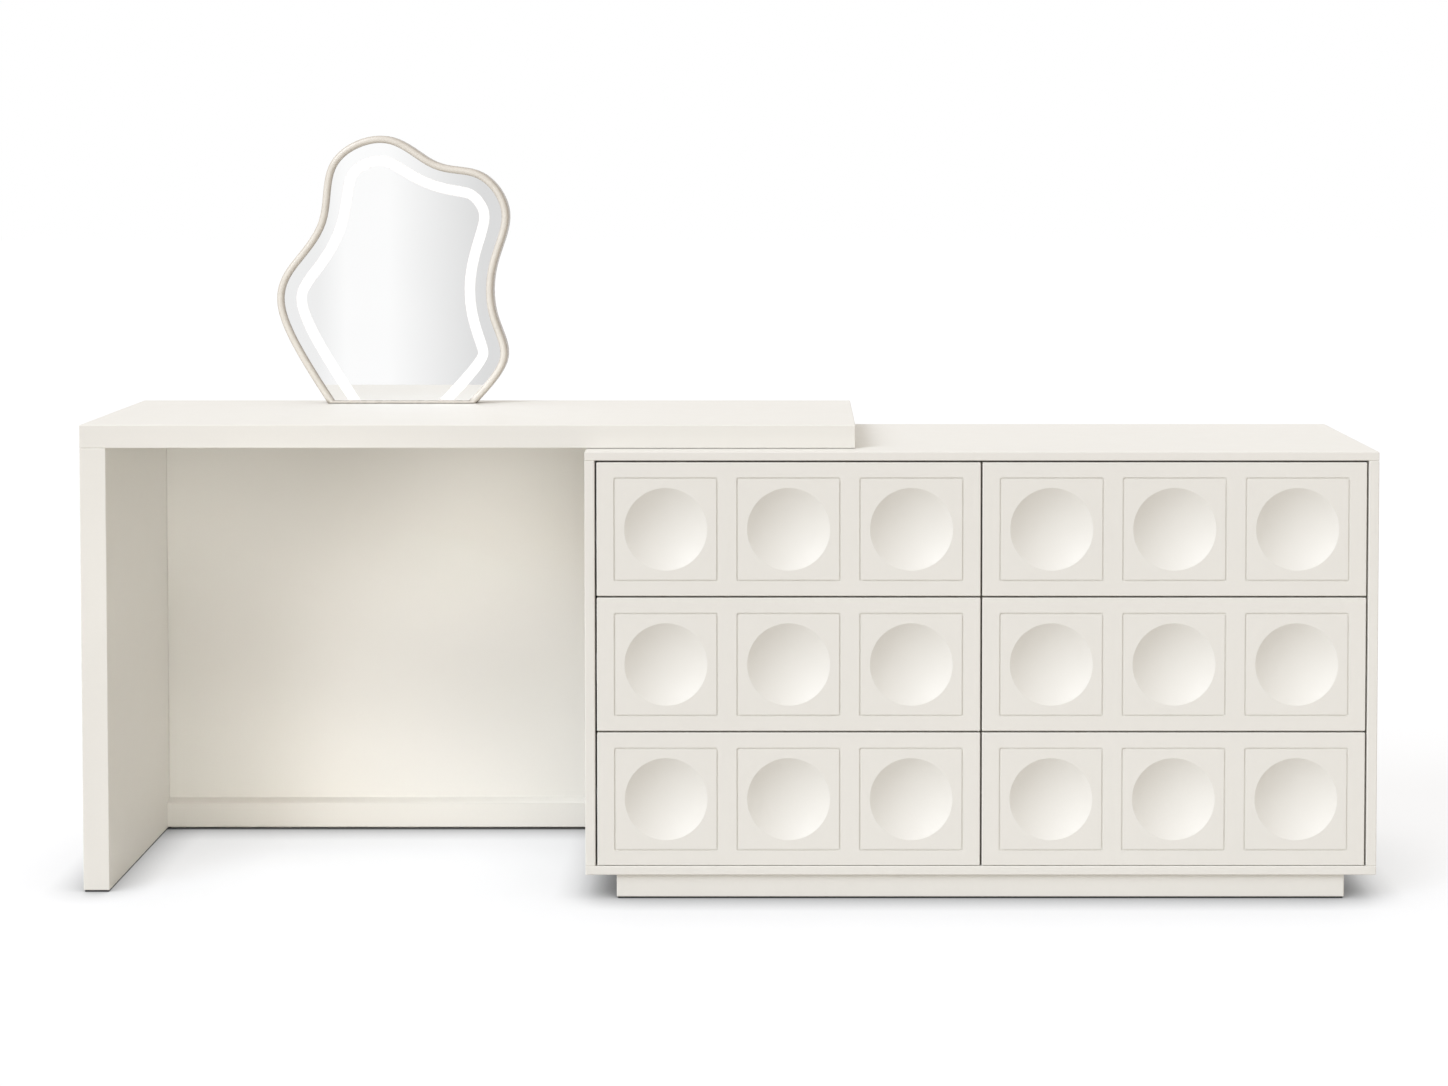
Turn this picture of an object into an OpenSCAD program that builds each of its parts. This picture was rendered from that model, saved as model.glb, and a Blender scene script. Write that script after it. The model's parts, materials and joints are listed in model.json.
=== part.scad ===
// Dressing table: a chest of six drawers and a desk that slides out sideways over it,
// with a free-form lit mirror standing on the desk.
// The origin is on the floor under the middle of the whole. The fronts face -Y, the length
// runs along X and Z is up. The desk is drawn pulled out.

/* [Desk] */
// Length of the desk top
desk_length = 1235; // [1100:5:1400]
// Height of the upper face of the desk top
desk_height = 750; // [720:2:790]
// Thickness of the desk top
desk_top_t = 37; // [25:1:45]
// Thickness of the end panel
end_panel_t = 42; // [30:1:55]
// Thickness of the back panel
back_panel_t = 16; // [12:1:22]
// Height of the skirting board
skirting_h = 49; // [30:1:100]
// Thickness of the skirting board
skirting_t = 15; // [6:1:16]
// Height of the skirting board over the foot of the back panel
skirting_lift = 2; // [1:1:15]
// Fall of the skirting board's top from back to front
skirting_splay = 6; // [1:1:12]
// Length of desk top that lies over the chest while the desk is pulled out
desk_overlap = 428; // [300:4:560]
// How far the front of the chest stands before the front of the desk
front_step = 42; // [20:1:90]
// Free depth behind the chest, where the back panel slides
rear_gap = 19; // [19:1:60]
// Width of a slide strip under the desk top
strip_w = 20; // [12:1:30]
// Thickness of a slide strip
strip_t = 3; // [2:0.5:5]
// How far a slide strip stands out of its groove
strip_proud = 0.5; // [0.5:0.1:2]
// Running clearance between the slide strips and the chest
strip_clearance = 0.2; // [0.1:0.1:0.5]
// Distance from the front of the desk to the front slide strip
strip_front_inset = 35; // [10:5:80]
// Distance from the back of the chest to the rear slide strip
strip_rear_inset = 30; // [10:5:80]
// Distance from the end of the desk, and from that of the chest, to a slide strip
strip_end_inset = 24; // [10:2:60]

/* [Chest] */
// Width of the chest
chest_width = 1252; // [1000:2:1500]
// Thickness of a side board
side_t = 16; // [12:1:22]
// Thickness of the top board and of the bottom board
deck_t = 14; // [12:1:22]
// Thickness of the board between the two drawer columns
divider_t = 16; // [12:1:22]
// Thickness of the back panel of the chest
chest_back_t = 6; // [4:1:8]
// Depth of the groove that holds the back panel of the chest
back_groove_d = 7; // [4:1:9]
// How far the back panel of the chest lies inside its rear edges
back_inset = 10; // [6:1:20]
// Free depth behind the drawers
drawer_rear_play = 12; // [2:1:60]
// Height of the plinth boards
plinth_h = 37; // [25:1:80]
// Thickness of the plinth boards
plinth_t = 16; // [12:1:22]
// How far the plinth stands back from the front of the chest
plinth_front_inset = 8; // [6:1:60]
// How far the plinth stands in from each end of the chest
plinth_end_inset = 49; // [10:1:90]
// How far the plinth stands in from the back of the chest
plinth_rear_inset = 25; // [0:1:60]

/* [Drawers] */
// Thickness of a drawer front
front_t = 25; // [22:1:30]
// How far a drawer front lies behind the front edges of the chest
front_setback = 1; // [0.5:0.5:3]
// Width of the gaps beside, over and between the drawer fronts
front_gap = 3; // [2:0.5:5]
// Height of the gap under the lowest drawer fronts
bottom_gap = 1; // [1:0.5:5]
// Side of a routed square
tile_size = 162; // [140:1:168]
// Distance from the ends of a drawer front to its outer squares
tile_margin = 28; // [15:0.5:40]
// Width of the groove round a square
groove_w = 2.4; // [2:0.2:3.6]
// Depth of the groove round a square
groove_d = 1.8; // [1:0.1:3]
// Radius of the corners of that groove, at its middle
groove_corner_r = 2.5; // [2:0.5:6]
// Diameter of a dish
dish_d = 131; // [90:1:136]
// Depth of a dish
dish_depth = 17; // [8:1:18]
// Thickness of the side boards and back board of a drawer
drawer_t = 12; // [10:1:15]
// Height of a drawer's side boards
drawer_side_h = 150; // [100:5:165]
// Height of the side boards over the lower edge of the front
drawer_lift = 22; // [16:1:30]
// Thickness of a drawer's bottom panel
bottom_t = 6; // [4:1:8]
// Height of the bottom panel over the lower edge of the side boards
bottom_lift = 10; // [8:1:16]
// Depth of the groove that holds the bottom panel
bottom_groove_d = 5; // [3:1:6]

/* [Runners] */
// Length of the runners
runner_length = 350; // [300:5:400]
// How far the runners lie behind the drawer fronts
runner_setback = 1; // [1:0.5:4]
// Space for a runner between the chest and a drawer
runner_space = 12.7; // [12.7:0.1:14]
// Height of a runner
runner_h = 45; // [35:1:45]
// Sheet thickness of a runner
runner_sheet = 1.2; // [1:0.1:1.4]
// Play between the members of a runner
runner_play = 0.5; // [0.3:0.1:0.7]

/* [Mirror] */
// Height of the mirror
mirror_h = 462; // [430:2:560]
// Distance from the left end of the desk to the middle of the mirror's foot
mirror_from_left = 461.5; // [300:0.5:700]
// Distance from the back of the mirror to the back of the desk
mirror_from_back = 28; // [28:1:120]
// Width of the mirror's rim
rim_w = 12.5; // [10:0.5:16]
// Height of the rim along the mirror's foot
rim_foot_h = 5; // [5:0.5:10]
// Depth of the rim
rim_depth = 30; // [26:1:40]
// Thickness of the glass
glass_t = 4; // [3:0.5:6]
// Depth of the rim's rounded nose
rim_nose = 6; // [2:0.5:6]
// How far the glass lies behind the front of the rim
glass_setback = 7; // [6:0.5:10]
// Distance from the rim to the light band
band_inset = 20; // [10:1:22]
// Width of the light band
band_w = 18; // [8:1:20]
// Thickness of the backing board
backing_t = 6; // [4:1:8]
// Width of an angle bracket
bracket_w = 24; // [16:1:40]
// Height of an angle bracket
bracket_h = 40; // [30:1:80]
// Length of the foot of an angle bracket
bracket_foot = 22; // [18:1:24]
// Sheet thickness of an angle bracket
bracket_t = 2; // [1.5:0.5:3]
// Distance between the two brackets
bracket_spacing = 170; // [80:5:180]
// Height of the screw in the leg of a bracket
leg_screw_z = 26; // [16:1:32]
// Distance of the screw in the foot of a bracket from the mirror
foot_screw_y = 13; // [10:1:16]
// Diameter of the bracket screws
screw_d = 4; // [3:0.5:5]
// Diameter of their heads
screw_head_d = 8; // [6:0.5:10]
// Height of their heads
screw_head_h = 2; // [1.5:0.5:3]
// Length of the screws in the desk top
screw_length = 16; // [10:1:20]
// Clearance round the screws
screw_clearance = 0.1; // [0.05:0.05:0.3]
// Diameter of the bore in the power socket
socket_bore_d = 5.5; // [4:0.1:6.5]
// Depth of that bore
socket_bore_depth = 9; // [6:0.5:10]
// Diameter of the socket's barrel
socket_d = 9; // [8:0.5:12]
// Diameter of the socket's flange
socket_flange_d = 14; // [12:0.5:18]
// Height of the socket over the desk top
socket_z = 60; // [50:1:100]

/* [General] */
// Width of the eased edges of the boards
edge_ease = 1; // [0.5:0.1:2]
// Height of the glide strips under plinth and desk
glide_h = 3; // [2:0.5:6]
// How far the glide strips stand in from the faces of what they carry
glide_inset = 2; // [1:0.5:5]
// Clearance of a panel in its groove
groove_clearance = 0.2; // [0.1:0.1:0.4]

/* [Hidden] */
ROWS = ["top", "middle", "bottom"];
COLUMNS = ["left", "right"];
DRAWER_PIECES = ["front", "sides", "back", "bottom", "runner_inner", "runner_middle"];

$fn = 96;
LACQUER = "#ece7de";
LACQUER_SHADE = "#ddd6ca";
BOARD_CORE = "#d9cdb8";
STEEL = "#b9bcc0";
NYLON = "#4a4a4c";
GLASS = "#e3e6e8";
OPAL = "#fbfbf6";

// Heights
desk_under = desk_height - desk_top_t;
chest_height = desk_under - strip_proud - strip_clearance;
chest_foot = glide_h + plinth_h;
inner_bottom = chest_foot + deck_t;
inner_top = chest_height - deck_t;

// Places along X
total_length = desk_length + chest_width - desk_overlap;
desk_left = -total_length / 2;
desk_right = desk_left + desk_length;
chest_right = total_length / 2;
chest_left = chest_right - chest_width;
inner_left = chest_left + side_t;
inner_right = chest_right - side_t;
inner_width = inner_right - inner_left;
chest_middle = (inner_left + inner_right) / 2;
bay_width = (inner_width - divider_t) / 2;

// Places along Y
drawer_length = runner_setback + runner_length;
chest_depth = front_setback + front_t + drawer_length + drawer_rear_play + chest_back_t + back_inset;
desk_depth = chest_depth - front_step + rear_gap + back_panel_t;
total_depth = desk_depth + front_step;
chest_front = -total_depth / 2;
chest_rear = chest_front + chest_depth;
desk_front = chest_front + front_step;
desk_rear = desk_front + desk_depth;
fronts_face = chest_front + front_setback;
fronts_back = fronts_face + front_t;
drawer_rear = fronts_back + drawer_length;
chest_back_front = chest_rear - back_inset - chest_back_t;

// Sizes of the drawers
front_w = (inner_width - 3 * front_gap) / 2;
front_h = (inner_top - inner_bottom - 3 * front_gap - bottom_gap) / 3;
tile_pitch = (front_w - 2 * tile_margin - tile_size) / 2;
dish_r = (pow(dish_d / 2, 2) + pow(dish_depth, 2)) / (2 * dish_depth);
box_w = bay_width - 2 * runner_space;

// Places of the slide strips
strip_length = desk_overlap - 2 * strip_end_inset;
strip_places = [desk_front + strip_front_inset, chest_rear - strip_rear_inset - strip_w];

// Small fixed allowances
cut = 1;
divider_clearance = 1;
screw_end_cover = 1.2;
socket_floor_t = 1;

// Places of the mirror: its foot's middle, its front and its back
mirror_x = desk_left + mirror_from_left;
mirror_rear = desk_rear - mirror_from_back;
mirror_front = mirror_rear - rim_depth;
glass_front = mirror_front + glass_setback;
backing_front = mirror_rear - backing_t;
bracket_places = [mirror_x - bracket_spacing / 2, mirror_x + bracket_spacing / 2];
socket_flange_t = 1.5;
socket_barrel = socket_bore_depth + socket_floor_t;
leg_screw_length = bracket_t + backing_t - screw_end_cover;

// Control points of the mirror's outline, from the foot's left corner round to its right corner
OUTLINE_H = 462;
OUTLINE = [
    [-130, 0], [-177, 73], [-224, 163], [-212, 231], [-126, 309], [-147, 429], [-17, 485],
    [56, 401], [139, 417], [202, 330], [155, 243], [154, 149], [200, 79], [126, 0]];
OUTLINE_STEPS = 10;

// Smooth curve through the middle of a run of four control points
function curve_point(a, b, c, d, t) =
    (pow(1 - t, 3) * a + (3 * pow(t, 3) - 6 * t * t + 4) * b
     + (-3 * pow(t, 3) + 3 * t * t + 3 * t + 1) * c + pow(t, 3) * d) / 6;
function curve_slope(a, b, c, d, t) =
    (-pow(1 - t, 2) * a + (3 * t * t - 4 * t) * b + (-3 * t * t + 2 * t + 1) * c + t * t * d) / 2;

// The run of control points starts and ends on the foot's corners
outline_scale = mirror_h / OUTLINE_H;
last = len(OUTLINE) - 1;
controls = outline_scale * concat(
    [2 * OUTLINE[0] - OUTLINE[1]], OUTLINE, [2 * OUTLINE[last] - OUTLINE[last - 1]]);
stations = [for (i = [0 : last * OUTLINE_STEPS])
    let (k = min(floor(i / OUTLINE_STEPS), last - 1), t = i / OUTLINE_STEPS - k)
    [curve_point(controls[k], controls[k + 1], controls[k + 2], controls[k + 3], t),
     curve_slope(controls[k], controls[k + 1], controls[k + 2], controls[k + 3], t)]];
last_station = len(stations) - 1;

// A point of the outline drawn in by inset. The two corners lie at the height foot.
function inward(slope) = [slope.y, -slope.x] / norm(slope);
function inset_point(i, inset, foot) =
    let (p = stations[i][0] + inset * inward(stations[i][1]), slope = stations[i][1])
    i == 0 || i == last_station ? p + slope * (foot - p.y) / slope.y : p;
function inset_outline(inset, foot) = [for (i = [0 : last_station]) inset_point(i, inset, foot)];

// Section of the rim as [distance from the outer edge, depth behind the front], with a round nose
// and a lip, half as wide as the rim, in front of the glass
rim_lip = rim_w / 2;
nose = [for (a = [180 : -15 : 0]) [rim_w / 2 * (1 + cos(a)), rim_nose * (1 - sin(a))]];
rim_section = concat(
    [[0, rim_depth]], nose,
    [[rim_w, glass_setback], [rim_lip, glass_setback], [rim_lip, rim_depth]]);

// Eased board with its corner at the origin
module eased(size) {
    ease = edge_ease;
    polygon([
        [ease, 0], [size.x - ease, 0], [size.x, ease], [size.x, size.y - ease],
        [size.x - ease, size.y], [ease, size.y], [0, size.y - ease], [0, ease]]);
}

module board(size) {
    intersection() {
        linear_extrude(size.z) eased([size.x, size.y]);
        translate([0, size.y, 0]) rotate([90, 0, 0]) linear_extrude(size.y) eased([size.x, size.z]);
        rotate([90, 0, 90]) linear_extrude(size.x) eased([size.y, size.z]);
    }
}

// Box and eased board between two opposite corners
module box_between(low, high) {
    translate(low) cube(high - low);
}

module board_between(low, high) {
    translate(low) board(high - low);
}

// Low places of the drawers
function bay_left(column) = inner_left + column * (bay_width + divider_t);
function front_left(column) = inner_left + front_gap + column * (front_w + front_gap);
function front_foot(row) = inner_top - (row + 1) * (front_h + front_gap);
function box_foot(row) = front_foot(row) + drawer_lift;

// Back panel of the chest, grown by a clearance for the grooves that hold it
module chest_back_panel(clearance) {
    reach = back_groove_d - groove_clearance + clearance;
    box_between(
        [inner_left - reach, chest_back_front - clearance, inner_bottom - reach],
        [inner_right + reach, chest_back_front + chest_back_t + clearance, inner_top + reach]);
}

module chest_deck(foot) {
    difference() {
        board_between([chest_left, chest_front, foot], [chest_right, chest_rear, foot + deck_t]);
        chest_back_panel(groove_clearance);
    }
}

module chest_side(left) {
    difference() {
        board_between([left, chest_front, inner_bottom], [left + side_t, chest_rear, inner_top]);
        chest_back_panel(groove_clearance);
    }
}

module chest_top() {
    color(LACQUER) chest_deck(inner_top);
}

module chest_bottom() {
    color(LACQUER) chest_deck(chest_foot);
}

module chest_left_side() {
    color(LACQUER) chest_side(chest_left);
}

module chest_right_side() {
    color(LACQUER) chest_side(inner_right);
}

module chest_divider() {
    color(BOARD_CORE) box_between(
        [chest_middle - divider_t / 2, fronts_back + divider_clearance, inner_bottom],
        [chest_middle + divider_t / 2, chest_back_front - groove_clearance, inner_top]);
}

module chest_back() {
    color(LACQUER_SHADE) chest_back_panel(0);
}

// Plinth: the end boards stand between the front board and the back board
plinth_left = chest_left + plinth_end_inset;
plinth_right = chest_right - plinth_end_inset;
plinth_face = chest_front + plinth_front_inset;
plinth_rear = chest_rear - plinth_rear_inset;

module plinth_long_board(face) {
    color(LACQUER) board_between(
        [plinth_left, face, glide_h], [plinth_right, face + plinth_t, chest_foot]);
}

module plinth_front() {
    plinth_long_board(plinth_face);
}

module plinth_back() {
    plinth_long_board(plinth_rear - plinth_t);
}

module plinth_ends() {
    color(LACQUER) for (left = [plinth_left, plinth_right - plinth_t])
        board_between(
            [left, plinth_face + plinth_t, glide_h],
            [left + plinth_t, plinth_rear - plinth_t, chest_foot]);
}

// Glide strip on the floor under a board with the given faces
module glide_strip(left, right, front, rear) {
    box_between(
        [left + glide_inset, front + glide_inset, 0],
        [right - glide_inset, rear - glide_inset, glide_h]);
}

module plinth_glides() {
    color(NYLON) {
        for (face = [plinth_face, plinth_rear - plinth_t])
            glide_strip(plinth_left, plinth_right, face, face + plinth_t);
        for (left = [plinth_left, plinth_right - plinth_t])
            glide_strip(left, left + plinth_t, plinth_face + plinth_t, plinth_rear - plinth_t);
    }
}

// Runner members: channels with their web at one place and their lips pointing to another,
// both measured from the wall of the chest
function channel(web, tip, half) =
    let (t = tip > web ? runner_sheet : -runner_sheet)
    [[web, -half], [tip, -half], [tip, -half + runner_sheet], [web + t, -half + runner_sheet],
     [web + t, half - runner_sheet], [tip, half - runner_sheet], [tip, half], [web, half]];

outer_half = runner_h / 2;
middle_half = outer_half - runner_sheet - runner_play;
inner_half = middle_half - runner_sheet - runner_play;
middle_web = runner_sheet + runner_play;
inner_web = runner_space;
outer_tip = inner_web - 2 * runner_sheet - runner_play;
middle_tip = inner_web - runner_sheet - runner_play;
inner_tip = middle_web + runner_sheet + runner_play;

module runner_pair(column, row, web, tip, half) {
    height = box_foot(row) + drawer_side_h / 2;
    color(STEEL)
    for (hand = [0, 1])
        translate([bay_left(column) + hand * bay_width, drawer_rear, height])
            mirror([hand, 0, 0]) rotate([90, 0, 0])
            linear_extrude(runner_length) polygon(channel(web, tip, half));
}

module runner_outer_members() {
    for (column = [0, 1]) for (row = [0 : 2])
        runner_pair(column, row, 0, outer_tip, outer_half);
}

module drawer_runner_middle(column, row) {
    runner_pair(column, row, middle_web, middle_tip, middle_half);
}

module drawer_runner_inner(column, row) {
    runner_pair(column, row, inner_web, inner_tip, inner_half);
}

// Upright square block with round corners, from y = start to y = end
module rounded_block(size, corner_r, start, end) {
    straight = size - 2 * corner_r;
    translate([0, end, 0]) rotate([90, 0, 0]) linear_extrude(end - start) {
        square([size, straight], center = true);
        square([straight, size], center = true);
        for (x = [-1, 1]) for (y = [-1, 1])
            translate([x, y] * straight / 2) circle(r = corner_r);
    }
}

// Groove round a square, and the round dish inside it
module tile_cut() {
    half_w = groove_w / 2;
    difference() {
        rounded_block(tile_size + groove_w, groove_corner_r + half_w, -cut, groove_d);
        rounded_block(tile_size - groove_w, groove_corner_r - half_w, -2 * cut, 2 * groove_d);
    }
    translate([0, dish_depth - dish_r, 0]) sphere(r = dish_r);
}

// Bottom panel of a drawer, grown by a clearance for the grooves that hold it
module drawer_panel(column, row, clearance) {
    side = bay_left(column) + runner_space + drawer_t;
    reach = bottom_groove_d - groove_clearance + clearance;
    foot = box_foot(row) + bottom_lift;
    box_between(
        [side - reach, fronts_back - reach, foot - clearance],
        [side + box_w - 2 * drawer_t + reach, drawer_rear + clearance, foot + bottom_t + clearance]);
}

module drawer_front(column, row) {
    color(LACQUER) difference() {
        translate([front_left(column), fronts_face, front_foot(row)]) board([front_w, front_t, front_h]);
        for (k = [0 : 2])
            translate([
                front_left(column) + tile_margin + tile_size / 2 + k * tile_pitch,
                fronts_face,
                front_foot(row) + front_h / 2])
                tile_cut();
        drawer_panel(column, row, groove_clearance);
    }
}

module drawer_sides(column, row) {
    color(BOARD_CORE) difference() {
        for (x = [0, box_w - drawer_t])
            translate([bay_left(column) + runner_space + x, fronts_back, box_foot(row)])
                board([drawer_t, drawer_length, drawer_side_h]);
        drawer_panel(column, row, groove_clearance);
    }
}

module drawer_back(column, row) {
    foot = box_foot(row) + bottom_lift + bottom_t;
    left = bay_left(column) + runner_space + drawer_t;
    color(BOARD_CORE) board_between(
        [left, drawer_rear - drawer_t, foot],
        [left + box_w - 2 * drawer_t, drawer_rear, box_foot(row) + drawer_side_h]);
}

module drawer_bottom(column, row) {
    color(LACQUER_SHADE) drawer_panel(column, row, 0);
}

module drawer_piece(column, row, piece) {
    if (piece == "front") drawer_front(column, row);
    if (piece == "sides") drawer_sides(column, row);
    if (piece == "back") drawer_back(column, row);
    if (piece == "bottom") drawer_bottom(column, row);
    if (piece == "runner_inner") drawer_runner_inner(column, row);
    if (piece == "runner_middle") drawer_runner_middle(column, row);
}

// Slide strip, grown by a clearance for its groove
module slide_strip(y, clearance) {
    right = desk_right - strip_end_inset;
    box_between(
        [right - strip_length - clearance, y - clearance, desk_under - strip_proud],
        [right + clearance, y + strip_w + clearance, desk_under - strip_proud + strip_t]);
}

module desk_top() {
    color(LACQUER) difference() {
        board_between([desk_left, desk_front, desk_under], [desk_right, desk_rear, desk_height]);
        for (y = strip_places) slide_strip(y, groove_clearance);
        bracket_screws(screw_clearance);
    }
}

module desk_end_panel() {
    color(LACQUER) board_between(
        [desk_left, desk_front, glide_h], [desk_left + end_panel_t, desk_rear, desk_under]);
}

module desk_back_panel() {
    color(LACQUER) board_between(
        [desk_left + end_panel_t, desk_rear - back_panel_t, glide_h],
        [desk_right, desk_rear, desk_under]);
}

module desk_skirting() {
    rear = desk_rear - back_panel_t;
    face = rear - skirting_t;
    foot = glide_h + skirting_lift;
    head = foot + skirting_h;
    color(LACQUER) translate([desk_left + end_panel_t, 0, 0]) rotate([90, 0, 90])
        linear_extrude(desk_right - desk_left - end_panel_t) polygon([
            [rear, head], [rear, foot], [face + edge_ease, foot], [face, foot + edge_ease],
            [face, head - skirting_splay]]);
}

module desk_floor_glides() {
    color(NYLON) {
        glide_strip(desk_left, desk_left + end_panel_t, desk_front, desk_rear);
        glide_strip(desk_left + end_panel_t, desk_right, desk_rear - back_panel_t, desk_rear);
    }
}

module desk_slide_strips() {
    color(NYLON) for (y = strip_places) slide_strip(y, 0);
}

// Plate with an outline in the plane of the mirror, from one depth to another
module upright_plate(points, front, rear) {
    translate([mirror_x, rear, desk_height]) rotate([90, 0, 0])
        linear_extrude(rear - front) polygon(points);
}

// Rim swept round the outline. The foot is the last stretch, and its section is squeezed in height.
module mirror_frame() {
    rings = [for (i = [0 : last_station]) [for (s = rim_section)
        let (p = inset_point(i, s.x, s.x * rim_foot_h / rim_w))
        [mirror_x + p.x, mirror_front + s.y, desk_height + p.y]]];
    sides = len(rim_section);
    count = len(rings);
    function corner(ring, k) = (ring % count) * sides + k % sides;
    faces = [for (i = [0 : count - 1]) for (k = [0 : sides - 1]) each [
        [corner(i, k), corner(i, k + 1), corner(i + 1, k + 1)],
        [corner(i, k), corner(i + 1, k + 1), corner(i + 1, k)]]];
    color(LACQUER) polyhedron([for (ring = rings) each ring], faces);
}

glass_inset = rim_lip + groove_clearance;
glass_foot = glass_inset * rim_foot_h / rim_w;

module mirror_glass() {
    color(GLASS) upright_plate(
        inset_outline(glass_inset, glass_foot), glass_front, glass_front + glass_t);
}

module mirror_backing() {
    color(LACQUER_SHADE) difference() {
        upright_plate(inset_outline(glass_inset, glass_foot), backing_front, mirror_rear);
        bracket_screws(screw_clearance);
        power_socket_barrel(screw_clearance);
    }
}

// Outline of the light band. Each point is the mean of its neighbours, which rounds the corners.
BAND_MEAN = 3;
function mean(run) = [for (p = run) 1] * run / len(run);
function band_outline(inset) =
    let (points = inset_outline(inset, rim_foot_h))
    [for (i = [0 : last_station]) let (reach = min(BAND_MEAN, i, last_station - i))
        mean([for (k = [i - reach : i + reach]) points[k]])];

// Light strip behind the frosted band of the glass, open towards the foot
module mirror_light_strip() {
    outside = band_outline(rim_w + band_inset);
    inside = band_outline(rim_w + band_inset + band_w);
    color(OPAL) upright_plate(
        concat(outside, [for (i = [last_station : -1 : 0]) inside[i]]),
        glass_front + glass_t, backing_front);
}

// Screw along -Z from the seat of its head, grown by a clearance round its shank
module screw(length, clearance) {
    translate([0, 0, -length]) cylinder(h = length, d = screw_d + 2 * clearance);
    if (clearance == 0) intersection() {
        cylinder(h = screw_head_h, d = screw_head_d);
        translate([0, 0, screw_head_h - screw_head_d]) sphere(r = screw_head_d);
    }
}

// The screws of both brackets: one down into the desk top, one forward into the backing board
module bracket_screws(clearance) {
    for (x = bracket_places) {
        translate([x, mirror_rear + foot_screw_y, desk_height + bracket_t])
            screw(screw_length, clearance);
        translate([x, mirror_rear + bracket_t, desk_height + leg_screw_z])
            rotate([-90, 0, 0]) screw(leg_screw_length, clearance);
    }
}

module mirror_brackets() {
    color(STEEL) difference() {
        for (x = bracket_places) {
            left = x - bracket_w / 2;
            right = x + bracket_w / 2;
            box_between(
                [left, mirror_rear, desk_height],
                [right, mirror_rear + bracket_t, desk_height + bracket_h]);
            box_between(
                [left, mirror_rear, desk_height],
                [right, mirror_rear + bracket_foot, desk_height + bracket_t]);
        }
        bracket_screws(screw_clearance);
    }
}

module mirror_screws() {
    color(STEEL) bracket_screws(0);
}

// Barrel of the power socket through the backing board, grown by a clearance for its hole
module power_socket_barrel(clearance) {
    translate([mirror_x, mirror_rear - socket_barrel, desk_height + socket_z])
        rotate([-90, 0, 0]) cylinder(h = socket_barrel, d = socket_d + 2 * clearance);
}

module mirror_power_socket() {
    color(NYLON) difference() {
        union() {
            power_socket_barrel(0);
            translate([mirror_x, mirror_rear, desk_height + socket_z])
                rotate([-90, 0, 0]) cylinder(h = socket_flange_t, d = socket_flange_d);
        }
        translate([mirror_x, mirror_rear + socket_flange_t - socket_bore_depth, desk_height + socket_z])
            rotate([-90, 0, 0]) cylinder(h = socket_bore_depth + cut, d = socket_bore_d);
    }
}

chest_top();
chest_left_side();
chest_right_side();
chest_bottom();
chest_divider();
chest_back();
plinth_front();
plinth_back();
plinth_ends();
plinth_glides();
runner_outer_members();
desk_top();
desk_end_panel();
desk_back_panel();
desk_skirting();
desk_floor_glides();
desk_slide_strips();
mirror_frame();
mirror_glass();
mirror_backing();
mirror_light_strip();
mirror_brackets();
mirror_screws();
mirror_power_socket();
for (c = [0 : 1]) for (r = [0 : 2]) for (p = DRAWER_PIECES)
    drawer_piece(c, r, p);
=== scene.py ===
# Looks of the dressing table: finishes, soft edges, the frosted band of the mirror and the studio.
# Units are metres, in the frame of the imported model: +Z up, the drawer fronts face -Y.
import json
import math

import bpy
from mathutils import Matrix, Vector

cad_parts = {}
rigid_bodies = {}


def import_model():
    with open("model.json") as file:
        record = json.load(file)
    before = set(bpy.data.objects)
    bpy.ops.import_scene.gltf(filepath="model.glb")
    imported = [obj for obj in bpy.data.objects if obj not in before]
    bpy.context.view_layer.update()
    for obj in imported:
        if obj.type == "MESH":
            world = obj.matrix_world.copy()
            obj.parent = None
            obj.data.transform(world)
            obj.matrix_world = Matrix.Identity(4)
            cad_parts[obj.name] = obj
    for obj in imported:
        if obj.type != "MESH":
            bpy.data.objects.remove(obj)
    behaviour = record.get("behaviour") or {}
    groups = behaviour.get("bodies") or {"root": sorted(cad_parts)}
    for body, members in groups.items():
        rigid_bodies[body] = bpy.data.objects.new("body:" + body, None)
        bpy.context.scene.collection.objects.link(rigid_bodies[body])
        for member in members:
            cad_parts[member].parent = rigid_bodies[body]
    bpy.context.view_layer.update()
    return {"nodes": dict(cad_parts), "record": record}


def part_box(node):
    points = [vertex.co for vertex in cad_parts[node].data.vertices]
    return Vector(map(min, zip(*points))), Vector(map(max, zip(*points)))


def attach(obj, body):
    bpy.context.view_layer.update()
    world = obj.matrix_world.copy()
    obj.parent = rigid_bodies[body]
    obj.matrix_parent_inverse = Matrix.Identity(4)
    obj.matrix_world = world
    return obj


# The photograph's frame, the focal length and the point on the lens axis, in pixels
PHOTO_W = 1448
PHOTO_H = 1086
FOCAL_PX = 2488.0
AXIS_X = 794.6
AXIS_Y = 241.2
SENSOR_MM = 36.0
CAMERA_PLACE = (0.1087, -4.1216, 1.1803)
# A slight pitch, in degrees, keeps the shift of the lens small, so that other views show more
CAMERA_PITCH = 2.0
# How far the camera sees, in metres
VIEW_REACH = 200.0

# Studio
WORLD_COLOR = (0.658, 0.608, 0.552)
# Name, energy, angle in degrees, colour and the direction that the light comes from
SUNS = [
    ("key", 1.85, 35, (0.945, 1.000, 1.090), (-0.59, -0.55, 0.59)),
    ("top", 0.24, 50, (1.0, 1.0, 1.03), (-0.1, 0.1, 0.99)),
]
# A sun's own place has no effect on its light
SUN_PLACE = (0, 0, 3)
# Narrow lamps that brighten only the knee space and the inner face of the end panel
FILL_COLOR = (1.0, 0.973, 0.931)
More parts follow.
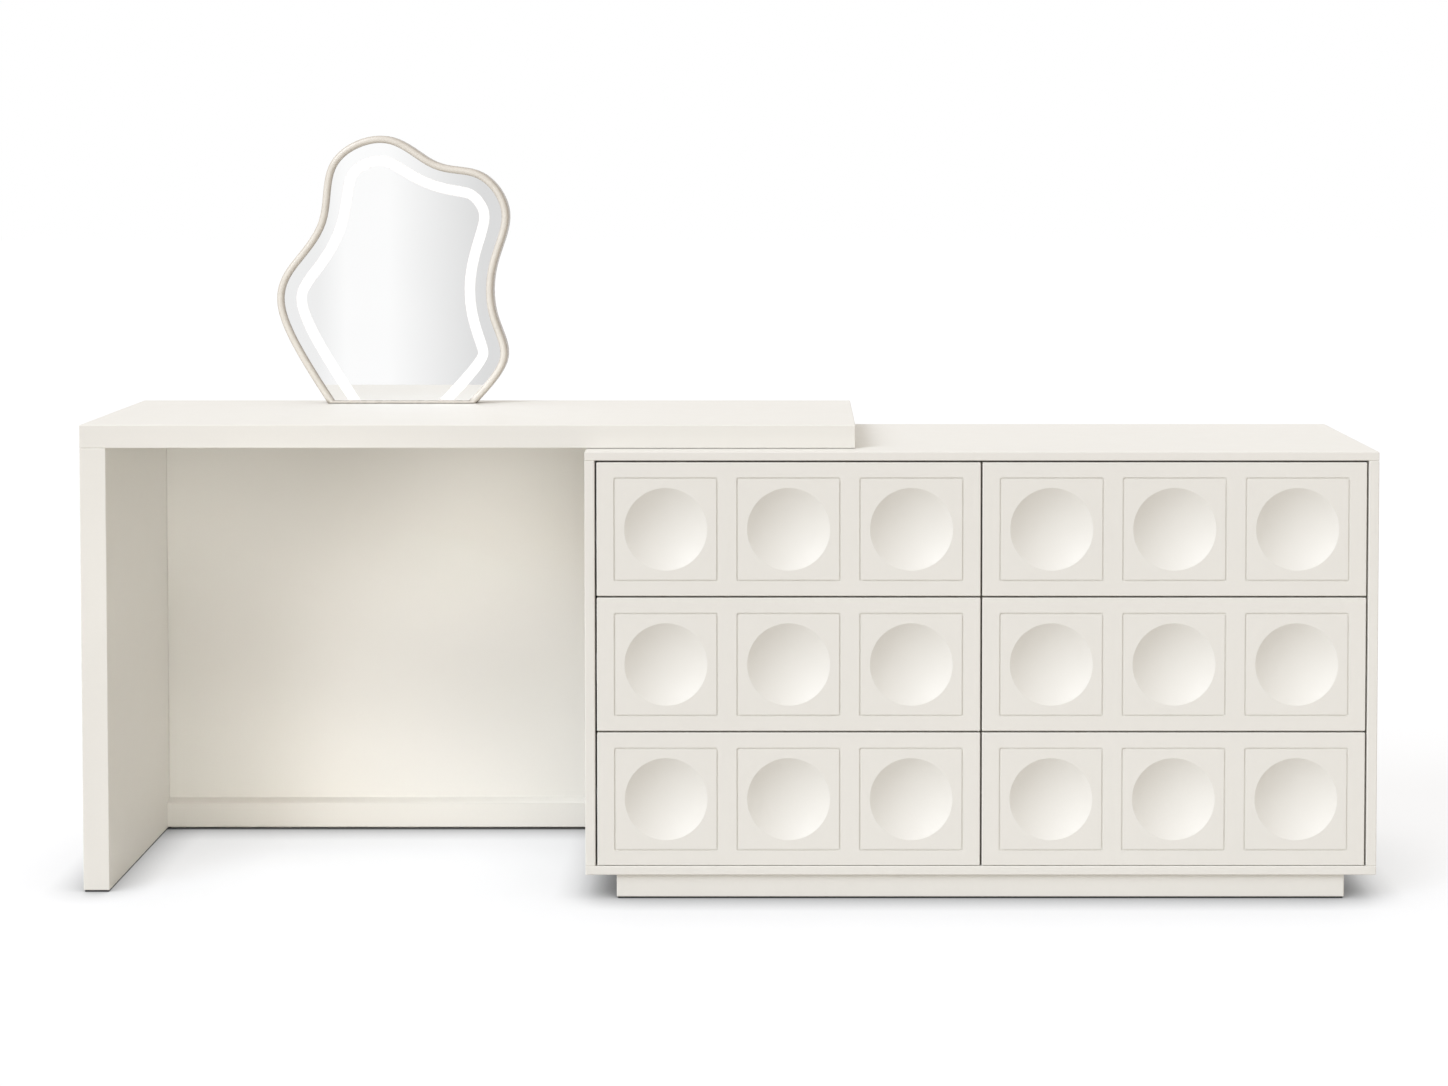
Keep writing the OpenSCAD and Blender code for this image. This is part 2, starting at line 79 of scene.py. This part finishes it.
# Name, watts, width and height, spread in degrees, place and the point that it faces
PANELS = [
    ("knee_fill_right", 0.126, (0.3, 0.6), 8, (-0.20, -3.0, 0.40), (-0.68, 0.15, 0.24)),
    ("knee_fill_left", 0.120, (0.3, 0.3), 8, (-1.70, -3.0, 0.12), (-0.42, 0.20, 0.50)),
    ("knee_fill_foot", 0.065, (0.5, 0.2), 6, (-0.50, -3.2, 0.10), (-0.58, 0.20, 0.08)),
    ("end_fill_low", 0.067, (0.3, 0.3), 6, (0.90, -3.0, 0.25), (-0.93, 0.15, 0.10)),
    ("end_fill_high", 0.115, (0.3, 0.5), 8, (0.90, -3.0, 0.12), (-0.92, 0.10, 0.46)),
]
FLOOR_SIZE = 60.0
# The floor as it lights the object, and as it is seen: a little of the real shadow over a white glow
FLOOR_BOUNCE = (0.640, 0.622, 0.590)
FLOOR_COLOR = (0.240, 0.245, 0.255)
FLOOR_GLOW = (0.775, 0.775, 0.775)
# Reach of a painted contact shadow and how strongly it darkens the floor's colour and glow
PAINTED_CONTACT_SHADOWS = [(0.07, 0.70), (0.25, 0.22)]

# Left, right, low and high edge of the card that the mirror reflects, and its place along Y
MIRROR_CARD = (-3.6, 0.6, -0.6, 2.6, -6.0)
# Level of the card at places along X
CARD_LEVELS = [
    (-3.20, 0.86),
    (-1.90, 0.90),
    (-1.78, 1.02),
    (-1.60, 1.02),
    (-1.20, 0.75),
    (-0.20, 0.80),
]

# Lacquer and the other finishes, as linear colours
CREAM = (0.817, 0.805, 0.762)
RIM_FRONT = (0.790, 0.755, 0.690)
# Painted shade: the colour that the rim's sides darken to where they turn away from the front
RIM_PAINTED_SHADE = (0.330, 0.275, 0.215)
# How fast the painted shade darkens the rim where it turns away
RIM_SHADE_FALL = 1.1
CREAM_BACK = (0.790, 0.765, 0.715)
FOIL = (0.720, 0.690, 0.630)
# Near-black nylon; on the glide strips under the panels its black is also a painted shadow line in the
# gap
NYLON_AND_PAINTED_SHADOW_LINE = (0.030, 0.030, 0.032)
# Pale nylon of the glides under the back panel, lighter so as to lift the shade under the skirting:
# painted light
PALE_NYLON_AND_PAINTED_LIGHT = (0.480, 0.460, 0.430)
STEEL = (0.560, 0.570, 0.580)
POWDER_COAT = (0.740, 0.715, 0.660)
SILVER = (0.955, 0.957, 0.957)
FROST_DIM = (0.930, 0.935, 0.935)
FROST_BRIGHT = (0.960, 0.960, 0.960)
# Colour and strength of the light that comes through the frosted glass
FROST_LIGHT = (1.0, 0.995, 0.98)
FROST_GLOW = 0.12
# The noise values between which a finish goes from one end of its span to the other
NOISE_LOW = 0.3
NOISE_HIGH = 0.7

# How much the edges of a finish are rounded, by material slot
EDGE_SOFTNESS = {"cream_lacquer": 0.0007, "drawer_board": 0.0005}
EDGE_SEGMENTS = 3
# The sharpest bend, in degrees, that still counts as part of a face
EDGE_ANGLE = 28
# Corners of a CAD mesh that lie closer than this are one corner
WELD_REACH = 0.00002
# Material slots whose facets are shaded as one smooth surface
SMOOTH_SLOTS = {"rim_lacquer"}

# How far the frosted band's face stands off the glass, and how thick the band is
BAND_STANDOFF = 0.0003
BAND_THICKNESS = 0.0002
# The glides under the back panel start this far left of it
GLIDE_MARGIN = 0.001


def clear_scene():
    for thing in list(bpy.data.objects):
        bpy.data.objects.remove(thing)


def put_in_scene(thing):
    bpy.context.scene.collection.objects.link(thing)


def add_sheet(name, corners):
    """One flat face with four corners."""
    mesh = bpy.data.meshes.new(name)
    mesh.from_pydata(corners, [], [(0, 1, 2, 3)])
    sheet = bpy.data.objects.new(name, mesh)
    put_in_scene(sheet)
    return sheet


def add_camera():
    data = bpy.data.cameras.new("camera")
    data.sensor_width = SENSOR_MM
    data.lens = FOCAL_PX * SENSOR_MM / PHOTO_W
    data.shift_x = (PHOTO_W / 2 - AXIS_X) / PHOTO_W
    data.shift_y = (AXIS_Y - PHOTO_H / 2) / PHOTO_W
    data.clip_end = VIEW_REACH
    camera = bpy.data.objects.new("camera", data)
    camera.location = CAMERA_PLACE
    camera.rotation_euler = (math.radians(90 - CAMERA_PITCH), 0, 0)
    put_in_scene(camera)
    bpy.context.scene.camera = camera


class Nodes:
    """Small helper that builds a node tree with short calls."""

    def __init__(self, tree):
        self.tree = tree
        tree.nodes.clear()

    def add(self, kind, inputs=None, **settings):
        node = self.tree.nodes.new(kind)
        for name, value in settings.items():
            setattr(node, name, value)
        for name, value in (inputs or {}).items():
            self.feed(node.inputs[name], value)
        return node

    def feed(self, socket, value):
        if isinstance(value, bpy.types.NodeSocket):
            self.tree.links.new(value, socket)
        elif isinstance(value, (tuple, list)) and len(value) == 3 and socket.type == "RGBA":
            socket.default_value = (*value, 1.0)
        else:
            socket.default_value = value

    def math(self, operation, a, b=0.0):
        node = self.add("ShaderNodeMath", operation=operation)
        self.feed(node.inputs[0], a)
        self.feed(node.inputs[1], b)
        return node.outputs[0]

    def noise(self, vector, scale, detail=3.0, roughness=0.5):
        node = self.add("ShaderNodeTexNoise", {
            "Vector": vector, "Scale": scale, "Detail": detail, "Roughness": roughness})
        return node.outputs["Fac"]

    def span(self, value, low, high):
        """Maps a noise value round 0.5 to the span from low to high."""
        node = self.add("ShaderNodeMapRange", {
            "Value": value, "From Min": NOISE_LOW, "From Max": NOISE_HIGH, "To Min": low, "To Max": high})
        return node.outputs["Result"]

    def blend(self, factor, a, b):
        node = self.add("ShaderNodeMix", data_type="RGBA")
        self.feed(node.inputs["Factor"], factor)
        self.feed(node.inputs["A"], a)
        self.feed(node.inputs["B"], b)
        return node.outputs["Result"]

    def stretch(self, vector, scale):
        node = self.add("ShaderNodeMapping", {"Vector": vector, "Scale": scale})
        return node.outputs["Vector"]

    def bump(self, height, distance, strength):
        node = self.add("ShaderNodeBump", {
            "Height": height, "Distance": distance, "Strength": strength})
        return node.outputs["Normal"]


def new_material(name):
    material = bpy.data.materials.new(name)
    material.use_nodes = True
    return material, Nodes(material.node_tree)


def shaded(color, factor):
    return tuple(channel * factor for channel in color)


def finish_surface(nodes, shader):
    nodes.add("ShaderNodeOutputMaterial", {"Surface": shader})


def lacquer(name, color, roughness=0.46):
    """Sprayed satin lacquer: a faint drift of tone, fine orange peel and slightly uneven gloss."""
    material, nodes = new_material(name)
    place = nodes.add("ShaderNodeTexCoord").outputs["Object"]
    drift = nodes.noise(place, 2.2, 2.0)
    speck = nodes.noise(place, 260.0, 2.0)
    tone = nodes.blend(nodes.span(drift, 0.0, 1.0), shaded(color, 0.985), shaded(color, 1.012))
    tone = nodes.blend(nodes.span(speck, 0.0, 0.5), tone, shaded(color, 0.99))
    peel = nodes.noise(place, 420.0, 3.0, 0.6)
    gloss = nodes.span(nodes.noise(place, 34.0, 3.0), roughness - 0.03, roughness + 0.04)
    shader = nodes.add("ShaderNodeBsdfPrincipled", {
        "Base Color": tone, "Roughness": gloss, "Specular IOR Level": 0.38,
        "Normal": nodes.bump(peel, 0.00005, 0.35)})
    finish_surface(nodes, shader.outputs[0])
    return material


def rim_lacquer(name, front, rim_shade_color):
    """Pearly lacquer of the mirror's rim, with painted shade that darkens it where the rim turns away."""
    material, nodes = new_material(name)
    coordinates = nodes.add("ShaderNodeTexCoord")
    place = coordinates.outputs["Object"]
    # Painted shade: the tone goes from the front colour to the dark side colour as the normal turns away
    # from -Y
    facing = nodes.add("ShaderNodeSeparateXYZ", {"Vector": coordinates.outputs["Normal"]}).outputs["Y"]
    facing = nodes.math("POWER", nodes.math("ABSOLUTE", facing), RIM_SHADE_FALL)
    drift = nodes.span(nodes.noise(place, 30.0, 2.0), -0.04, 0.04)
    tone = nodes.blend(nodes.math("ADD", facing, drift), rim_shade_color, front)
    peel = nodes.noise(place, 420.0, 3.0, 0.6)
    shader = nodes.add("ShaderNodeBsdfPrincipled", {
        "Base Color": tone, "Roughness": nodes.span(nodes.noise(place, 60.0, 3.0), 0.24, 0.32),
        "Normal": nodes.bump(peel, 0.00003, 0.3)})
    finish_surface(nodes, shader.outputs[0])
    return material


def foil_board(name, color):
    """Drawer board with a matt foil that has a fine linen grain."""
    material, nodes = new_material(name)
    place = nodes.add("ShaderNodeTexCoord").outputs["Object"]
    along = nodes.noise(nodes.stretch(place, (60.0, 4.0, 1400.0)), 1.0, 2.0)
    across = nodes.noise(nodes.stretch(place, (1400.0, 1400.0, 6.0)), 1.0, 2.0)
    weave = nodes.math("MULTIPLY", along, across)
    tone = nodes.blend(nodes.span(weave, 0.0, 1.0), shaded(color, 1.02), shaded(color, 0.95))
    shader = nodes.add("ShaderNodeBsdfPrincipled", {
        "Base Color": tone, "Roughness": 0.55, "Normal": nodes.bump(weave, 0.00006, 0.5)})
    finish_surface(nodes, shader.outputs[0])
    return material


def plated_steel(name, color):
    """Zinc-plated sheet with faint rolling lines along its length."""
    material, nodes = new_material(name)
    place = nodes.add("ShaderNodeTexCoord").outputs["Object"]
    lines = nodes.noise(nodes.stretch(place, (900.0, 12.0, 900.0)), 1.0, 3.0)
    cloud = nodes.noise(place, 26.0, 3.0)
    tone = nodes.blend(nodes.span(cloud, 0.0, 1.0), shaded(color, 0.9), shaded(color, 1.08))
    gloss = nodes.span(lines, 0.27, 0.44)
    shader = nodes.add("ShaderNodeBsdfPrincipled", {
        "Base Color": tone, "Metallic": 1.0, "Roughness": gloss,
        "Normal": nodes.bump(lines, 0.00002, 0.4)})
    finish_surface(nodes, shader.outputs[0])
    return material


def moulded(name, color, right_color, split=0.0):
    """Moulded nylon with a spark-eroded grain, in another colour to the right of a split."""
    material, nodes = new_material(name)
    place = nodes.add("ShaderNodeTexCoord").outputs["Object"]
    pits = nodes.noise(place, 900.0, 2.0)
    across = nodes.add("ShaderNodeSeparateXYZ", {"Vector": place}).outputs["X"]
    base = nodes.blend(nodes.math("GREATER_THAN", across, split), color, right_color)
    grained = nodes.add("ShaderNodeHueSaturation", {
        "Color": base, "Value": nodes.span(pits, 0.85, 1.2)})
    tone = grained.outputs["Color"]
    shader = nodes.add("ShaderNodeBsdfPrincipled", {
        "Base Color": tone, "Roughness": 0.5, "Normal": nodes.bump(pits, 0.00003, 0.5)})
    finish_surface(nodes, shader.outputs[0])
    return material


def silvered(name, color):
    """Silvered glass with the slightest unevenness of its gloss."""
    material, nodes = new_material(name)
    place = nodes.add("ShaderNodeTexCoord").outputs["Object"]
    haze = nodes.noise(place, 9.0, 2.0)
    tone = nodes.blend(nodes.span(haze, 0.0, 1.0), color, shaded(color, 0.99))
    gloss = nodes.span(nodes.noise(place, 14.0, 2.0), 0.012, 0.03)
    shader = nodes.add("ShaderNodeBsdfPrincipled", {
        "Base Color": tone, "Metallic": 1.0, "Roughness": gloss})
    finish_surface(nodes, shader.outputs[0])
    return material


def frosted(name):
    """Frosted glass that glows a little from the light strip behind it."""
    material, nodes = new_material(name)
    place = nodes.add("ShaderNodeTexCoord").outputs["Object"]
    frost = nodes.noise(place, 700.0, 3.0)
    tone = nodes.blend(nodes.span(frost, 0.0, 1.0), FROST_DIM, FROST_BRIGHT)
    shader = nodes.add("ShaderNodeBsdfPrincipled", {
        "Base Color": tone, "Roughness": 0.55, "Emission Color": FROST_LIGHT,
        "Emission Strength": FROST_GLOW, "Normal": nodes.bump(frost, 0.00002, 0.4)})
    finish_surface(nodes, shader.outputs[0])
    return material


def add_weld(thing):
    weld = thing.modifiers.new("weld", "WELD")
    weld.merge_threshold = WELD_REACH


def soften(thing, width):
    """Rounds the hard edges of a CAD node a little."""
    add_weld(thing)
    bevel = thing.modifiers.new("soft_edges", "BEVEL")
    bevel.width = width
    bevel.segments = EDGE_SEGMENTS
    bevel.limit_method = "ANGLE"
    bevel.angle_limit = math.radians(EDGE_ANGLE)
    bevel.harden_normals = True


def smooth_over(thing):
    """Shades the facets of a rounded CAD node as one surface."""
    add_weld(thing)
    normals = thing.modifiers.new("smooth_normals", "WEIGHTED_NORMAL")
    normals.weight = 50


def dress_nodes(frame):
    """Gives each CAD node the finish of its material slot."""
    finishes = {
        "cream_lacquer": lacquer("cream_lacquer_finish", CREAM),
        "rim_lacquer": rim_lacquer("rim_lacquer_painted_shade", RIM_FRONT, RIM_PAINTED_SHADE),
        "back_board": lacquer("back_board_finish", CREAM_BACK, 0.5),
        "drawer_board": foil_board("drawer_board_finish", FOIL),
        "drawer_panel": foil_board("drawer_panel_finish", shaded(FOIL, 1.05)),
        "runner_steel": plated_steel("runner_steel_finish", STEEL),
        "bracket_steel": lacquer("bracket_finish", POWDER_COAT, 0.42),
        "dark_nylon": moulded("dark_nylon_finish", NYLON_AND_PAINTED_SHADOW_LINE, NYLON_AND_PAINTED_SHADOW_LINE),
        "mirror_glass": silvered("mirror_finish", SILVER),
        "light_diffuser": frosted("diffuser_finish"),
    }
    slots = {part["node"]: part["material_slot"] for part in frame["record"]["subparts"]}
    # Glides under the end panel stay near-black, a painted shadow line; those under the back panel are
    # pale, painted light in the shade under the skirting
    desk_glides_painted_shade_and_light = moulded(
        "desk_glides_painted_shade_and_light", NYLON_AND_PAINTED_SHADOW_LINE, PALE_NYLON_AND_PAINTED_LIGHT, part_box("desk_back_panel")[0].x - GLIDE_MARGIN)
    for name, thing in frame["nodes"].items():
        material = desk_glides_painted_shade_and_light if name == "desk_floor_glides" else finishes[slots[name]]
        for slot in thing.material_slots:
            slot.material = material
        if slots[name] in EDGE_SOFTNESS:
            soften(thing, EDGE_SOFTNESS[slots[name]])
        if slots[name] in SMOOTH_SLOTS:
            smooth_over(thing)


def add_frosted_band(frame):
    """The frosted band lies on the glass, in the outline of the light strip behind it."""
    strip = frame["nodes"]["mirror_light_strip"]
    glass_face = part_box("mirror_glass")[0].y
    band_front = glass_face - BAND_STANDOFF
    strip_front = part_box("mirror_light_strip")[0].y
    strip_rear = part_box("mirror_light_strip")[1].y
    mesh = strip.data.copy()
    for vertex in mesh.vertices:
        share = (vertex.co.y - strip_front) / (strip_rear - strip_front)
        vertex.co.y = band_front + share * BAND_THICKNESS
    mesh.materials.clear()
    mesh.materials.append(frosted("frosted_band_finish"))
    band = bpy.data.objects.new("mirror_frosted_band", mesh)
    put_in_scene(band)
    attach(band, "desk")


def seen_directly(nodes):
    """1 for rays that reach the surface from the camera, by reflection or through glass."""
    path = nodes.add("ShaderNodeLightPath")
    seen = nodes.math("MAXIMUM", path.outputs["Is Camera Ray"], path.outputs["Is Glossy Ray"])
    return nodes.math("MAXIMUM", seen, path.outputs["Is Transmission Ray"])


def add_floor():
    half = FLOOR_SIZE / 2
    corners = [(-half, -half, 0), (half, -half, 0), (half, half, 0), (-half, half, 0)]
    floor = add_sheet("floor", corners)
    material, nodes = new_material("floor_finish")
    seen = seen_directly(nodes)
    # Painted contact shadow: occlusion near the object darkens the floor's seen colour and its glow
    open_share = 1.0
    for reach, depth in PAINTED_CONTACT_SHADOWS:
        nearness = nodes.add("ShaderNodeAmbientOcclusion", {"Distance": reach}).outputs["AO"]
        open_share = nodes.math("MULTIPLY", nodes.math("POWER", nearness, depth), open_share)
    black = (0.0, 0.0, 0.0)
    color = nodes.blend(seen, FLOOR_BOUNCE, nodes.blend(open_share, black, FLOOR_COLOR))
    glow = nodes.blend(nodes.math("MULTIPLY", seen, open_share), black, FLOOR_GLOW)
    diffuse = nodes.add("ShaderNodeBsdfDiffuse", {"Color": color})
    emission = nodes.add("ShaderNodeEmission", {"Color": glow})
    shader = nodes.add("ShaderNodeAddShader")
    nodes.feed(shader.inputs[0], diffuse.outputs[0])
    nodes.feed(shader.inputs[1], emission.outputs[0])
    finish_surface(nodes, shader.outputs[0])
    floor.data.materials.append(material)


def add_mirror_card():
    """A screen behind the camera that gives the mirror something soft to reflect."""
    left, right, low, high, depth = MIRROR_CARD
    corners = [(left, depth, low), (right, depth, low), (right, depth, high), (left, depth, high)]
    card = add_sheet("mirror_card", corners)
    card.visible_camera = False
    card.visible_diffuse = False
    card.visible_shadow = False
    material, nodes = new_material("card_glow")
    place = nodes.add("ShaderNodeTexCoord").outputs["Object"]
    across = nodes.add("ShaderNodeSeparateXYZ", {"Vector": place}).outputs["X"]
    share = nodes.add("ShaderNodeMapRange", {
        "Value": across, "From Min": left, "From Max": right}).outputs["Result"]
    ramp = nodes.add("ShaderNodeValToRGB", {"Fac": share})
    stops = ramp.color_ramp.elements
    while len(stops) < len(CARD_LEVELS):
        stops.new(0.5)
    for stop, (x, level) in zip(stops, CARD_LEVELS):
        stop.position = (x - left) / (right - left)
        stop.color = (level, level, level, 1.0)
    shader = nodes.add("ShaderNodeEmission", {"Color": ramp.outputs["Color"], "Strength": 1.0})
    finish_surface(nodes, shader.outputs[0])
    card.data.materials.append(material)


def add_world():
    world = bpy.data.worlds.new("studio")
    world.use_nodes = True
    bpy.context.scene.world = world
    nodes = Nodes(world.node_tree)
    seen = seen_directly(nodes)
    level = nodes.blend(seen, WORLD_COLOR, (1.0, 1.0, 1.0))
    background = nodes.add("ShaderNodeBackground", {"Color": level, "Strength": 1.0})
    nodes.add("ShaderNodeOutputWorld", {"Surface": background.outputs[0]})


def add_light(name, kind, energy, place, towards_light):
    data = bpy.data.lights.new(name, kind)
    data.energy = energy
    light = bpy.data.objects.new(name, data)
    light.location = place
    light.rotation_euler = Vector(towards_light).to_track_quat("Z", "Y").to_euler()
    put_in_scene(light)
    return data


def add_lights():
    for name, energy, angle, color, direction in SUNS:
        sun = add_light(name, "SUN", energy, SUN_PLACE, direction)
        sun.angle = math.radians(angle)
        sun.color = color
    for name, watts, size, spread, place, aim in PANELS:
        panel = add_light(name, "AREA", watts, place, Vector(place) - Vector(aim))
        panel.color = FILL_COLOR
        panel.shape = "RECTANGLE"
        panel.size, panel.size_y = size
        panel.spread = math.radians(spread)


clear_scene()
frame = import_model()
add_camera()
add_world()
add_lights()
add_floor()
add_mirror_card()
dress_nodes(frame)
add_frosted_band(frame)
bpy.context.scene.view_settings.view_transform = "Standard"
